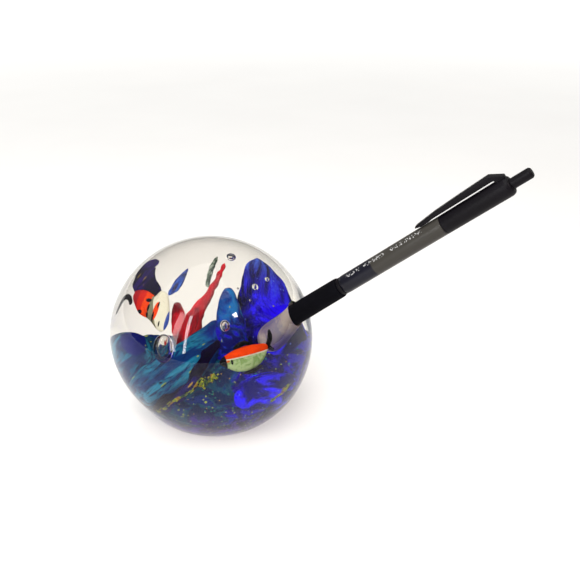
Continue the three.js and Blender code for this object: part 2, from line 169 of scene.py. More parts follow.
def mixed(tree, factor, low, high):
    """Two colours mixed by a factor socket; each is a socket or an (r, g, b) value."""
    made = node(tree, "ShaderNodeMix", {"Factor": factor}, data_type="RGBA")
    for key, colour in (("A", low), ("B", high)):
        socket = next(s for s in made.inputs if s.name == key and s.type == "RGBA")
        if isinstance(colour, tuple):
            socket.default_value = (*colour, 1)
        else:
            tree.links.new(colour, socket)
    return next(s for s in made.outputs if s.type == "RGBA")


def principled(tree, colour, roughness, bump=None, bump_depth=0.0, **values):
    """The main shader of a finish. The bump is a socket, and its depth is in metres."""
    shader = node(tree, "ShaderNodeBsdfPrincipled", {"Base Color": colour}, Roughness=roughness,
                  **values)
    if bump is not None:
        raised = node(tree, "ShaderNodeBump", {"Height": bump}, Strength=1.0, Distance=bump_depth)
        tree.links.new(raised.outputs["Normal"], shader.inputs["Normal"])
    node(tree, "ShaderNodeOutputMaterial", {"Surface": shader.outputs[0]})
    return shader


print("node helpers ready")

# %% [markdown]
# Clear glass. Light from lamps can't be traced through refraction to what is inside, so the usual
# way is to let shadow rays pass straight through: the camera still sees true glass with its
# bending and reflections, and the coloured pieces inside are lit.
# %% Clear glass material
GLASS_IOR = 1.5
SHADOW_CLEAR = (0.88, 0.875, 0.86)


def clear_glass_material(name, tint, roughness, clear=1.0, shine=(0.45, 0.45, 0.45), paint=None):
    """Clear is the share of light let through, shine the colour of its reflections."""
    material, tree = new_material(name)
    glass = node(tree, "ShaderNodeBsdfPrincipled", IOR=GLASS_IOR, Roughness=roughness)
    glass.inputs["Transmission Weight"].default_value = clear
    glass.inputs["Base Color"].default_value = (*tint, 1)
    glass.inputs["Specular Tint"].default_value = (*shine, 1)
    if paint is not None:
        tree.links.new(paint(tree), glass.inputs["Base Color"])
    through = node(tree, "ShaderNodeBsdfTransparent")
    through.inputs["Color"].default_value = (*SHADOW_CLEAR, 1)
    path = node(tree, "ShaderNodeLightPath")
    mix = node(tree, "ShaderNodeMixShader", {"Fac": path.outputs["Is Shadow Ray"]})
    tree.links.new(glass.outputs[0], mix.inputs[1])
    tree.links.new(through.outputs[0], mix.inputs[2])
    node(tree, "ShaderNodeOutputMaterial", {"Surface": mix.outputs[0]})
    return material


# The glass's slight warmth is its own; the rest of this dark warm grey tint is painted shade, in
# place of the dim room seen through the glass.
CLEAR_GLASS = clear_glass_material("clear_glass", (0.80, 0.775, 0.72), 0.0)
print("clear glass ready")


# %% [markdown]
# Coloured glass rod and frit. Each colour is a cloudy mix of deep and bright shades. Glass that was
# pulled with a tool shows streaks along the pull, so its noise is read in coordinates that are
# turned to the pull and squeezed along it. Frit is crushed glass: scattered specks of another
# colour. The socket is part of the clear glass. Its wall is frosted where the punch touched it, with
# a little violet and warm grey on it. Its violet stretch is painted near black, a painted shade of
# the hole that the pen fills.
# %% Colour layers
MILLIMETRES = (1, 1, 1)


def placed(tree, place, size):
    """Object coordinates seen from a place: zero at its centre, one at size millimetres from it."""
    return mapped(tree, vector_type="TEXTURE", Location=place.translation,
                  Rotation=place.to_euler(), Scale=[v * MM for v in size])


def pulled(tree, direction, stretch):
    """Object coordinates turned so that Z runs along the pull, and squeezed along it."""
    turn = Vector(direction).rotation_difference(Vector((0, 0, 1))).to_euler()
    squeezed = node(tree, "ShaderNodeMapping", {"Vector": mapped(tree, Rotation=turn)},
                    Scale=(1, 1, stretch))
    return squeezed.outputs["Vector"]


def math_node(tree, operation, first, second):
    made = node(tree, "ShaderNodeMath", operation=operation)
    for socket, value in zip(made.inputs, (first, second)):
        if isinstance(value, (int, float)):
            socket.default_value = value
        else:
            tree.links.new(value, socket)
    return made.outputs[0]


def axis_of(tree, vector, axis):
    return node(tree, "ShaderNodeSeparateXYZ", {"Vector": vector}).outputs[axis]


def length_of(tree, vector):
    made = node(tree, "ShaderNodeVectorMath", {"Vector": vector}, operation="LENGTH")
    return made.outputs["Value"]


def share_between(tree, value, low, high, **values):
    """0 below low, 1 above high (or the other way round), and even steps between."""
    made = node(tree, "ShaderNodeMapRange", {"Value": value}, **values)
    made.inputs["From Min"].default_value = low
    made.inputs["From Max"].default_value = high
    return made.outputs["Result"]


def fade(tree, value, low, high):
    """The same, smooth between."""
    return share_between(tree, value, low, high, interpolation_type="SMOOTHSTEP")


def plus(tree, value, times, added):
    """A value multiplied by a number, with a socket added."""
    made = math_node(tree, "MULTIPLY_ADD", value, times)
    tree.links.new(added, made.node.inputs[2])
    return made


def specks(tree, vector, scale, size, share):
    """Round specks: size is a share of their spacing, share is how many cells have one."""
    cells = node(tree, "ShaderNodeTexVoronoi", {"Vector": vector}, Scale=scale)
    near = math_node(tree, "LESS_THAN", cells.outputs["Distance"], size)
    chosen = math_node(tree, "GREATER_THAN", axis_of(tree, cells.outputs["Color"], "X"), 1 - share)
    return math_node(tree, "MULTIPLY", near, chosen)


def spot(tree, place, centre, size):
    """1 inside an ellipsoid given in the place's own millimetres."""
    there = place @ Matrix.Translation(Vector(centre) * MM)
    return fade(tree, length_of(tree, placed(tree, there, size)), 1.08, 0.92)


def socket_tints_and_shade(tree):
    """Violet at the socket's deep end and warm grey at its mouth, in streaks along it. The violet is
    painted near black, a painted shade of the hole that the pen fills.
    """
    here = placed(tree, PEN, MILLIMETRES)
    streaks = plus(tree, noise_field(tree, here, 0.35, 4.0, 1.0), 18.0, axis_of(tree, here, "Z"))
    along = share_between(tree, streaks, 4, 32)
    return ramp(tree, along, [(0.1, (0.22, 0.15, 0.13)), (0.3, (0.06, 0.02, 0.08)),
                              (0.55, (0.03, 0.01, 0.09)), (0.8, (0.26, 0.19, 0.16))])


# The socket wall's dark paint is painted shade of the hole that the pen fills.
SOCKET_GLASS = clear_glass_material("socket_glass", (0.34, 0.25, 0.25), 0.4, clear=0.3,
                                    shine=(0.20, 0.11, 0.24), paint=socket_tints_and_shade)
print("colour layers ready")

# %% [markdown]
# Every coloured glass is one recipe: a cloud of two to four shades, and layers over it. A layer
# can be flecks of frit, dark veins, or another colour past a wandering border. Glass in glass has
# no shine of its own, so the pieces' mirror reflection is turned off.
# %% Coloured glass
GLASS_ROUGHNESS = 0.6
CLOUD_FROM = 0.34
CLOUD_TO = 0.66
CLOUD_BUMP = 0.0003


def layered(tree, colour, layers, vector, cloud):
    for layer in layers:
        factor, over = layer(tree, vector, cloud)
        colour = mixed(tree, factor, colour, over) if factor is not None else over
    return colour


def coloured_glass(name, stops, scale=90, pull=(0, 0, 1), stretch=1.0, distortion=1.0, layers=()):
    """Cloudy glass. A layer is a function of (tree, vector, cloud) giving (factor, colour)."""
    material, tree = new_material(name)
    vector = pulled(tree, pull, stretch)
    haze = noise_field(tree, vector, scale, 8.0, distortion, 0.6)
    cloud = fade(tree, haze, CLOUD_FROM, CLOUD_TO)
    colour = layered(tree, ramp(tree, cloud, stops), layers, vector, cloud)
    shader = principled(tree, colour, GLASS_ROUGHNESS, cloud, CLOUD_BUMP)
    shader.inputs["Specular IOR Level"].default_value = 0.0
    return material


def flecks(scale, size, share, colour, where=None):
    """Specks of frit, only in the given part of the cloud if there is one."""
    def layer(tree, vector, cloud):
        factor = specks(tree, vector, scale, size, share)
        if where is not None:
            factor = math_node(tree, "MULTIPLY", factor, fade(tree, cloud, *where))
        return factor, colour
    return layer


def veins(scale, low, high, colour):
    def layer(tree, vector, cloud):
        threads = noise_field(tree, vector, scale, 8.0, 1.5, 0.65)
        return fade(tree, threads, low, high), colour
    return layer


def beyond(axis, low, high, stops, scale, wander=0.010):
    """Another colour past a wandering border across one axis, in patches of its own."""
    def layer(tree, vector, cloud):
        here = mapped(tree)
        swing = math_node(tree, "SUBTRACT", cloud, 0.5)
        away = plus(tree, swing, wander, axis_of(tree, here, axis))
        patches = fade(tree, noise_field(tree, here, scale, 6.0, 2.2, 0.6), 0.36, 0.64)
        return fade(tree, away, low, high), ramp(tree, patches, stops)
    return layer


# %% [markdown]
# The glasses of the reef. Colours are linear, and the thick lens of clear glass in front of them
# takes off some of their light. The ground turns cobalt at the right and violet at its foot. The
# wave is teal with green frit, the peaks are cobalt and azure, and the coral is red.
# %% Reef colours
WAVE_PULL = (0.75, 0.45, 0.48)
VEIL_PULL = (0.62, 0.52, 0.58)
DEEP_COBALT = [(0.22, (0.003, 0.001, 0.05)), (0.5, (0.005, 0.001, 0.13)),
               (0.8, (0.010, 0.002, 0.30))]
BRIGHT_COBALT = [(0.30, (0.003, 0.001, 0.10)), (0.5, (0.007, 0.001, 0.34)),
                 (0.72, (0.014, 0.002, 0.88))]
SKY_COBALT = [(0.2, (0.015, 0.035, 0.30)), (0.8, (0.04, 0.10, 0.48))]
AZURE_ROOT = [(0.3, (0.002, 0.002, 0.08)), (0.5, (0.003, 0.02, 0.13)), (0.75, (0.008, 0.003, 0.42))]
WAVE_SHADE = [(0.3, (0.002, 0.010, 0.12)), (0.7, (0.004, 0.035, 0.22))]
VIOLET_STOPS = [(0.3, (0.010, 0.003, 0.07)), (0.7, (0.040, 0.008, 0.22))]
FRIT_GREEN = (0.26, 0.34, 0.02)
FRIT_GOLD = (0.32, 0.20, 0.02)
BLACK = (0.002, 0.002, 0.006)

REEF = coloured_glass(
    "reef_glass", [(0.30, (0.002, 0.008, 0.05)), (0.46, (0.002, 0.028, 0.075)),
                   (0.60, (0.003, 0.050, 0.09)), (0.75, (0.003, 0.014, 0.11))], 100,
    layers=(veins(260, 0.54, 0.64, (0.001, 0.006, 0.03)),
            beyond("X", 0.004, 0.009, DEEP_COBALT, 130),
            beyond("Z", 0.0175, 0.0135, VIOLET_STOPS, 90, 0.006),
            flecks(700, 0.30, 0.16, FRIT_GREEN, (0.62, 0.85)),
            flecks(1300, 0.32, 0.06, FRIT_GREEN), flecks(1500, 0.30, 0.05, FRIT_GOLD),
            flecks(1000, 0.34, 0.10, (0.01, 0.12, 0.10))))
MOUND_TOP = Matrix.Translation(at_globe(-22.5, 0, 37.5))


def mound_patch(tree, vector, cloud):
    return spot(tree, MOUND_TOP, (0, 0, 0), (5.5, 9, 3.6)), (0.004, 0.008, 0.13)


TEAL = coloured_glass(
    "teal_glass", [(0.26, (0.003, 0.022, 0.11)), (0.42, (0.005, 0.070, 0.17)),
                   (0.60, (0.009, 0.125, 0.23)), (0.78, (0.012, 0.17, 0.29))], 150, WAVE_PULL, 0.2,
    layers=(veins(430, 0.52, 0.60, (0.002, 0.014, 0.08)),
            veins(1000, 0.57, 0.61, (0.001, 0.006, 0.03)), mound_patch,
            beyond("X", -0.006, 0.002, WAVE_SHADE, 200),
            flecks(1300, 0.3, 0.06, FRIT_GREEN, (0.45, 0.55))))
COBALT = coloured_glass(
    "cobalt_glass", [(0.28, (0.002, 0.001, 0.045)), (0.45, (0.006, 0.002, 0.16)),
                     (0.60, (0.010, 0.003, 0.34)), (0.78, (0.018, 0.006, 0.80))], 95,
    (0.1, 0.2, 1), 0.55,
    layers=(veins(520, 0.60, 0.68, (0.001, 0.001, 0.02)),
            beyond("Z", 0.054, 0.068, SKY_COBALT, 500, 0.02),
            beyond("Z", 0.031, 0.027, BRIGHT_COBALT, 52, 0.004),
            flecks(1500, 0.28, 0.05, (0.10, 0.16, 0.75))))
AZURE = coloured_glass(
    "azure_glass", [(0.3, (0.003, 0.020, 0.16)), (0.5, (0.006, 0.060, 0.27)),
                    (0.75, (0.010, 0.13, 0.38))], 110, (0, 0, 1), 0.4,
    layers=(veins(600, 0.58, 0.66, (0.002, 0.01, 0.10)),
            beyond("Z", 0.050, 0.040, AZURE_ROOT, 130, 0.008),
            flecks(1300, 0.34, 0.12, FRIT_GREEN, (0.5, 0.6))))
VIOLET = coloured_glass(
    "violet_glass", [(0.3, (0.003, 0.001, 0.018)), (0.55, (0.008, 0.002, 0.045)),
                     (0.8, (0.014, 0.004, 0.09))], 120, VEIL_PULL, 0.25,
    layers=(veins(500, 0.54, 0.62, BLACK), flecks(1100, 0.34, 0.07, FRIT_GOLD)))
BAND = coloured_glass(
    "band_glass", [(0.3, (0.003, 0.001, 0.015)), (0.55, (0.006, 0.002, 0.040)),
                   (0.8, (0.010, 0.006, 0.085))], 160, VEIL_PULL, 0.16,
    layers=(veins(500, 0.54, 0.62, BLACK), flecks(1300, 0.34, 0.05, FRIT_GOLD)))
FRIT = coloured_glass("frit_glass", [(0.2, (0.03, 0.07, 0.03)), (0.4, (0.20, 0.27, 0.02)),
                                     (0.6, (0.36, 0.42, 0.03)), (0.8, (0.26, 0.14, 0.02))], 420,
                      distortion=0.3)
CORAL = coloured_glass("coral_glass", [(0.3, (0.16, 0.002, 0.008)), (0.55, (0.42, 0.004, 0.012)),
                                       (0.8, (0.60, 0.009, 0.02))], 140, (0.4, 0, 0.9), 0.2,
                       layers=(veins(500, 0.62, 0.68, (0.10, 0.001, 0.006)),))
LEAF = coloured_glass("leaf_glass", [(0.2, (0.001, 0.002, 0.04)), (0.45, (0.004, 0.020, 0.20)),
                                     (0.75, (0.010, 0.075, 0.38))], 220, (0.52, 0.7, 0.48), 0.2,
                      layers=(veins(620, 0.55, 0.62, BLACK),))
SMOKE = coloured_glass("smoke_glass", [(0.35, (0.03, 0.05, 0.035)), (0.55, (0.12, 0.17, 0.12)),
                                       (0.75, (0.30, 0.34, 0.28))], 420, (0, 0.6, 0.8), 0.35)
print("reef colours ready")


# %% [markdown]
# The fish are painted in the flame with thin rods: the first has a black head, an orange back over
# a white line and a pale green belly with a gill mark. The second is banded across its body, from
# red at the tail to olive, and has an orange patch and dark bars on a cream face.
# %% Fish colours
def on_gather(east, north, turn=0.0):
    """A place on the inner gather: degrees round from the front and up from the equator."""
    rotation = (Matrix.Rotation(math.radians(east), 4, "Z")
                @ Matrix.Rotation(math.radians(-north), 4, "X")
                @ Matrix.Rotation(math.radians(-turn), 4, "Y"))
    outward = GLOBE_C + rotation @ Vector((0, -GATHER_R, 0))
    return Matrix.Translation(outward) @ rotation


FISH_ONE = on_gather(25, 13, 8)
FISH_TWO = on_gather(-48, 37, 14)


def banded(place, stops, low, high, scale, swing):
    """Colours in bands along a fish, in its own millimetres, with wavering borders."""
    def layer(tree, vector, cloud):
        here = axis_of(tree, placed(tree, place, MILLIMETRES), "X")
        waver = noise_field(tree, mapped(tree), scale, 3.0)
        at = share_between(tree, plus(tree, waver, swing, here), low, high)
        return None, ramp(tree, at, stops, "CONSTANT")
    return layer


LINE_SOFT = 0.12


def past_line(place, tilt, axis, at, colour):
    """A colour on one side of a straight line across a fish: tilt in degrees, at in millimetres."""
    turned = place @ Matrix.Rotation(math.radians(tilt), 4, "Y")

    def layer(tree, vector, cloud):
        across = axis_of(tree, placed(tree, turned, MILLIMETRES), axis)
        return fade(tree, across, at - LINE_SOFT, at + LINE_SOFT), colour
    return layer


def marked(place, centre, size, colour):
    """A small patch of a colour on a fish: its centre and half sizes in millimetres."""
    def layer(tree, vector, cloud):
        return spot(tree, place, centre, size), colour
    return layer


ORANGE = (0.66, 0.045, 0.004)
RED = (0.50, 0.012, 0.006)
CREAM = (0.62, 0.60, 0.48)
FISH_BLACK = coloured_glass("fish_black_glass", [(0.4, (0.002, 0.002, 0.003)),
                                                 (0.7, (0.012, 0.010, 0.016))], 300)
OLIVE = (0.17, 0.16, 0.10)
PALE_GREEN = [(0.35, (0.20, 0.33, 0.11)), (0.7, (0.34, 0.46, 0.22))]
ACROSS_TWO = [(0.0, (0.30, 0.006, 0.012)), (0.22, RED), (0.40, ORANGE), (0.58, OLIVE)]
FRONT = -1.8             # how far the outer side of a fish stands from its middle
BARS = [((4.0, -2.8), (0.5, 2.6)), ((5.2, 2.7), (0.4, 1.3)), ((7.9, -4.6), (0.35, 1.2)),
        ((0.5, 0.8), (0.6, 1.5)), ((0.5, -1.9), (0.6, 1.1)), ((-0.6, 3.8), (1.5, 0.8)),
        ((-4.2, -1.2), (1.5, 0.8))]


def fish_one_paint(name):
    return coloured_glass(name, PALE_GREEN, 260, layers=(
        past_line(FISH_ONE, 6.6, "Z", 0.25, CREAM), past_line(FISH_ONE, 6.6, "Z", 0.75, ORANGE),
        marked(FISH_ONE, (-4.7, FRONT, -0.2), (0.45, 2, 1.1), BLACK),
        marked(FISH_ONE, (-6.3, -1.6, 0.6), (0.9, 2, 0.5), (0.60, 0.10, 0.03))))


def fish_two_paint(name):
    bars = [marked(FISH_TWO, (x, FRONT, z), (wide, 4, tall), BLACK)
            for (x, z), (wide, tall) in BARS]
    return coloured_glass(name, [(0.35, ORANGE), (0.7, CREAM)], 150, layers=(
        banded(FISH_TWO, ACROSS_TWO, -10.2, 10.2, 420, 2.6),
        past_line(FISH_TWO, -25.6, "X", 3.3, CREAM),
        # Painted shade: the blue past the far end of the face, where the body rounds away.
        past_line(FISH_TWO, 0, "X", 10.3, (0.03, 0.06, 0.28)),
        marked(FISH_TWO, (4.7, FRONT, 0.2), (1.2, 4, 3.6), ORANGE), *bars))


FISH_ORANGE = fish_one_paint("fish_orange_glass")
FISH_GREEN = fish_one_paint("fish_green_glass")
FISH_WHITE = fish_two_paint("fish_white_glass")
FISH_STRIPE = fish_two_paint("fish_stripe_glass")
FISH_RED = fish_two_paint("fish_red_glass")
print("fish paints ready")

# %% [markdown]
# Pen finishes: a satin barrel, a matt soft grip, and the small metal and plastic parts inside.
# %% Pen finish recipe
def plastic_finish(name, low, high, roughness, grain=900.0, depth=0.00002, layers=(), gloss=0.25,
                   **values):
    """A moulded or metal finish: two close shades, and a fine grain of some depth in metres."""
    material, tree = new_material(name)
    vector = mapped(tree)
    cloud = noise_field(tree, vector, 60, 3.0)
    fine = noise_field(tree, vector, grain, 2.0)
    colour = layered(tree, ramp(tree, cloud, [(0.35, low), (0.7, high)]), layers, vector, cloud)
    shader = principled(tree, colour, roughness, fine, depth, **values)
    shader.inputs["Specular IOR Level"].default_value = gloss
    return material


# %% [markdown]
# The barrel is smoke-tinted. From 70 mm along the pen up to the housing it is painted a paler grey:
# a painted reflection of a window, which stands on every side of the barrel. A row of small plain
# marks stands where the real pen has its print.
# %% Pen colours
# Past this length the barrel is painted paler, a painted reflection of a window.
REFLECTION_FROM = 70           # all along the pen from its point, in millimetres
REFLECTION_EDGE = 0.4
MARKS_FROM = 57
MARKS_TO = 96
MARKS_EDGE = 0.4
PAINTED_REFLECTION_GREY = (0.036, 0.033, 0.028)
PRINT_GREY = (0.42, 0.42, 0.42)


# Painted reflection: the barrel is painted a paler grey from this length up, in place of a window's
# reflection on it.
def painted_reflection_band(tree, vector, cloud):
    along = axis_of(tree, placed(tree, PEN, MILLIMETRES), "Z")
    return fade(tree, along, REFLECTION_FROM - REFLECTION_EDGE, REFLECTION_FROM + REFLECTION_EDGE), PAINTED_REFLECTION_GREY


def plain_marks(tree, vector, cloud):
    """Short strokes from one noise, grouped by another, and kept to one strip of the barrel."""
    here = placed(tree, PEN, MILLIMETRES)
    along = axis_of(tree, here, "Z")
    across = axis_of(tree, here, "Y")
    strokes = fade(tree, noise_field(tree, here, 1.5, 1.0), 0.55, 0.59)
    only_along = node(tree, "ShaderNodeCombineXYZ", {"Z": along}).outputs[0]
    groups = fade(tree, noise_field(tree, only_along, 0.22, 0.0), 0.42, 0.44)
    strokes = math_node(tree, "MULTIPLY", strokes, groups)
    for value, low, high in ((along, MARKS_FROM, MARKS_FROM + MARKS_EDGE),
                             (along, MARKS_TO, MARKS_TO - MARKS_EDGE),
                             (across, -3.2, -3.0), (across, -1.8, -2.0),
                             (axis_of(tree, here, "X"), 0.0, -0.2)):
        strokes = math_node(tree, "MULTIPLY", strokes, fade(tree, value, low, high))
    return strokes, PRINT_GREY


BARREL = plastic_finish("barrel_plastic", (0.0025, 0.0025, 0.006), (0.005, 0.005, 0.012), 0.3,
                        layers=(painted_reflection_band, plain_marks), gloss=0.22)
NOSE = plastic_finish("nose_plastic", (0.002, 0.002, 0.003), (0.004, 0.004, 0.006), 0.4)
HOUSING = plastic_finish("housing_plastic", (0.0015, 0.001, 0.002), (0.003, 0.002, 0.004), 0.45,
                         gloss=0.12)
GRIP = plastic_finish("grip_rubber", (0.001, 0.001, 0.002), (0.002, 0.002, 0.004), 0.8, 1500.0,
                      0.00004, gloss=0.06)
CAM = plastic_finish("cam_plastic", (0.62, 0.60, 0.54), (0.72, 0.70, 0.64), 0.4)
REFILL = plastic_finish("refill_plastic", (0.58, 0.55, 0.46), (0.66, 0.63, 0.54), 0.3)
INK = plastic_finish("ink", (0.002, 0.002, 0.006), (0.005, 0.005, 0.015), 0.1)
BRASS = plastic_finish("point_brass", (0.55, 0.40, 0.16), (0.66, 0.50, 0.22), 0.25, gloss=0.5,
                       Metallic=1.0)
STEEL = plastic_finish("spring_steel", (0.45, 0.45, 0.47), (0.6, 0.6, 0.62), 0.25, gloss=0.5,
                       Metallic=1.0)
print("pen finishes ready")


# %% [markdown]
# Shape helpers. A piece is always built in a bmesh, with its place in its vertices, and then
# handed over by one function that smooths it, seats it on its CAD body and hides the plain CAD
# solid.
# %% Making and seating pieces
def add_piece(name, bm, material, body, slot, *replaced, sharp=40, outward=True):
    """Seats a piece. Edges past the sharp angle stay sharp, and, when outward is set, all faces are
    turned outward.
    """
    if outward:
        bmesh.ops.recalc_face_normals(bm, faces=bm.faces)
    mesh = bpy.data.meshes.new(name)
    bm.to_mesh(mesh)
    bm.free()
    for face in mesh.polygons:
        face.use_smooth = True
    mesh.set_sharp_from_angle(angle=math.radians(sharp))
    mesh.materials.append(material)
    piece = bpy.data.objects.new(name, mesh)
    bpy.context.scene.collection.objects.link(piece)
    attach(piece, body)
    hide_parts(*replaced)
    print(name, "faces:", len(mesh.polygons))
    return piece


def in_glass(name, bm, material, slot):
    """Seats a coloured piece of the globe in place of the CAD solid of its name."""
    return add_piece(name, bm, material, "globe", slot, name)


def spun(points, steps=96, closed=False):
    """A turned shape about Z from (radius, height) points; closed joins the last to the first."""
    bm = bmesh.new()
    verts = [bm.verts.new((r * MM, 0, z * MM)) for r, z in points]
    edges = [bm.edges.new(pair) for pair in zip(verts, verts[1:])]
    if closed:
        edges.append(bm.edges.new((verts[-1], verts[0])))
    bmesh.ops.spin(bm, geom=verts + edges, cent=(0, 0, 0), axis=(0, 0, 1), angle=2 * math.pi,
                   steps=steps, use_merge=True)
    bmesh.ops.remove_doubles(bm, verts=bm.verts, dist=1e-7)
    return bm


def softened(points, radius, closed=False):
    """The same outline with each corner turned into a short curve."""
    cuts = 4
    made = []
    count = len(points)
    for i, corner in enumerate(points):
        if not closed and i in (0, count - 1):
            made.append(corner)
            continue
        here = Vector(corner)
        before = Vector(points[i - 1]) - here
        after = Vector(points[(i + 1) % count]) - here
        start = here + before.normalized() * min(radius, before.length * 0.45)
        end = here + after.normalized() * min(radius, after.length * 0.45)
        for k in range(cuts + 1):
            t = k / cuts
            at = start * (1 - t) ** 2 + here * 2 * t * (1 - t) + end * t ** 2
            made.append((at.x, at.y))
    return made


def through_points(points, t):
    """A smooth curve through points (vectors or numbers) at t from 0 to 1."""
    spans = len(points) - 1
    at = min(max(t, 0.0), 1.0) * spans
    i = min(int(at), spans - 1)
    f = at - i
    p1, p2 = points[i], points[i + 1]
    p0 = points[i - 1] if i > 0 else p1 * 2 - p2
    p3 = points[i + 2] if i + 2 <= spans else p2 * 2 - p1
    return (p1 * 2 + (p2 - p0) * f + (p0 * 2 - p1 * 5 + p2 * 4 - p3) * f ** 2
            + (p1 * 3 - p0 - p2 * 3 + p3) * f ** 3) * 0.5


def limb(points, radii, up=Vector((0, -1, 0)), flat=1.0, rings=40, sides=28, cap=0.08):
    """A rod bent through points in metres; radii in millimetres, thinned along up by flat."""
    outline = [(0.0, 0.0)]
    for i in range(1, rings):
        t = i / rings
        end = min(t, 1 - t) / cap
        outline.append((math.sqrt(1 - (1 - min(end, 1)) ** 2), t))
    outline.append((0.0, 1.0))
    bm = spun([(r / MM, t / MM) for r, t in outline], sides)
    for vert in bm.verts:
        t = vert.co.z
        tangent = through_points(points, t + 0.01) - through_points(points, t - 0.01)
        tangent.normalize()
        side = tangent.cross(up).normalized()
        over = side.cross(tangent)
        radius = through_points(radii, t) * MM
        vert.co = (through_points(points, t) + side * vert.co.x * radius
                   + over * vert.co.y * radius * flat)
    return bm


def roughen(bm, depth, size, seed=0.0):
    """Pushes every vertex in or out by smooth noise: its depth and lump size in millimetres."""
    bm.normal_update()
    shift = Vector((seed, -seed, seed * 2))
    moves = [(v, v.normal * noise.noise(v.co / (size * MM) + shift) * depth * MM) for v in bm.verts]
    for vert, move in moves:
        vert.co += move
    return bm


def moved(bm, matrix):
    bmesh.ops.transform(bm, matrix=matrix, verts=bm.verts)
    return bm


def oval(place, semi, fine=5):
    """An oval lump about a place, with its half sizes in millimetres."""
    bm = bmesh.new()
    bmesh.ops.create_icosphere(bm, subdivisions=fine, radius=1)
    size = Matrix.Diagonal((*[s * MM for s in semi], 1))
    return moved(bm, Matrix.Translation(place) @ size)


def joined(first, *others):
    """Adds other bmeshes to the first one."""
    for other in others:
        holder = bpy.data.meshes.new("holder")
        other.to_mesh(holder)
        other.free()
        first.from_mesh(holder)
        bpy.data.meshes.remove(holder)
    return first


def cut_by(bm, cutter, operation="DIFFERENCE"):
    """A boolean of two bmeshes, made with Blender's Boolean modifier and read back."""
    objects = []
    for part in (bm, cutter):
        bmesh.ops.recalc_face_normals(part, faces=part.faces)
        mesh = bpy.data.meshes.new("boolean")
        part.to_mesh(mesh)
        part.free()
        objects.append(bpy.data.objects.new("boolean", mesh))
        bpy.context.scene.collection.objects.link(objects[-1])
    modifier = objects[0].modifiers.new("cut", "BOOLEAN")
    modifier.operation = operation
    modifier.solver = "EXACT"
    modifier.object = objects[1]
    result = bmesh.new()
    graph = bpy.context.evaluated_depsgraph_get()
    result.from_mesh(objects[0].evaluated_get(graph).to_mesh())
    for item in objects:
        bpy.data.objects.remove(item)
    return result


print("shape helpers ready")

# %% [markdown]
# The globe. The glassblower's ball is turned as one outline, then the lower half is pushed a
# little to one side as the real one is, and the glass round the socket's mouth is pressed in
# slightly. The socket is cut out of it.
# %% Clear globe
BASE_R = 21.5
BASE_EDGE = 2.2
LOWER_Z = 45.5
BASE_LEAN = 1.6
R_MM = GLOBE_R / MM
Z_MM = GLOBE_C.z / MM


def globe_outline():
    rows = 56
    lowest = math.asin((Z_MM - BASE_EDGE) / LOWER_Z)
    edge_r = R_MM * math.cos(lowest)
    points = [(0, 0), (BASE_R * 0.5, 0), (BASE_R * 0.9, 0), (BASE_R, 0.05)]
    points += [((BASE_R + edge_r) / 2 + 0.35, BASE_EDGE * 0.3)]
    for i in range(rows):
        a = lowest * (1 - i / rows)
        points.append((R_MM * math.cos(a), Z_MM - LOWER_Z * math.sin(a)))
    for i in range(rows):
        a = math.pi / 2 * i / rows
        points.append((R_MM * math.cos(a), Z_MM + R_MM * math.sin(a)))
    return points + [(0, Z_MM + R_MM)]


def lean(co):
    """Moves a point aside, more and more towards the base."""
    below = max(0.0, (GLOBE_C.z - co.z) / GLOBE_C.z)
    co.x += BASE_LEAN * MM * below ** 2


MOUTH_PRESS = (1.2, 16)                # depth in millimetres, spread in degrees
SIDE_PRESS = (2.4, 34)
SIDE_WAY = Vector((-0.74, -0.30, -0.60))
SOCKET_R = 5.2
SOCKET_DEPTH = 30.4
PEN_INSERT = 26.3
socket_outline = [(0, 0), (2.4, 0.5), (4.2, 2), (SOCKET_R - 0.2, 4.2), (SOCKET_R, 7),
                  (SOCKET_R, SOCKET_DEPTH - 2.5), (6, SOCKET_DEPTH), (9.5, SOCKET_DEPTH + 8),
                  (0, SOCKET_DEPTH + 8)]
SOCKET_PLACE = PEN @ Matrix.Translation((0, 0, (PEN_INSERT - SOCKET_DEPTH) * MM))
MOUTH = PEN @ Vector((0, 0, PEN_INSERT * MM))


def pressed_in(bm, direction, depth, spread):
    """Flattens the glass round one direction: depth in millimetres, spread in degrees."""
    for vert in bm.verts:
        way = vert.co - GLOBE_C
        turned = math.degrees(way.angle(direction)) / spread
        above_base = min(max(vert.co.z / (14 * MM), 0), 1)
        vert.co -= way.normalized() * depth * MM * math.exp(-turned ** 2) * above_base


def clear_globe():
    bm = spun(globe_outline(), 200)
    moved(bm, Matrix.Translation((GLOBE_C.x, 0, 0)))
    pressed_in(bm, (MOUTH - GLOBE_C).normalized(), *MOUTH_PRESS)
    pressed_in(bm, SIDE_WAY, *SIDE_PRESS)
    for vert in bm.verts:
        lean(vert.co)
    cutter = moved(spun(softened(socket_outline, 1.2), 96), SOCKET_PLACE)
    return cut_by(bm, cutter)


print("socket mouth, mm:", [round(v / MM, 1) for v in MOUTH])

# %% [markdown]
# A few air bubbles were caught between the gathers. Each is a small closed hollow in the glass,
# with faces that look into its air. The socket's wall gets its own frosted glass.
# %% Bubbles and the whole globe
bubbles = [((8.9, -0.3, 73.9), (1.9, 1.9, 1.9)), ((21.3, 0, 63), (1.0, 1.0, 1.0)),
           ((15.8, 0, 58.5), (1.1, 1.1, 1.4)), ((8.5, -28.7, 59.1), (1.9, 1.9, 2.4)),
           ((-15.3, -30.6, 50.2), (4.2, 3.0, 6.2)), ((18, -20, 66), (0.5, 0.5, 0.5)),
           ((26, -14, 60), (0.4, 0.4, 0.4)), ((12, -12, 66), (0.45, 0.45, 0.45))]


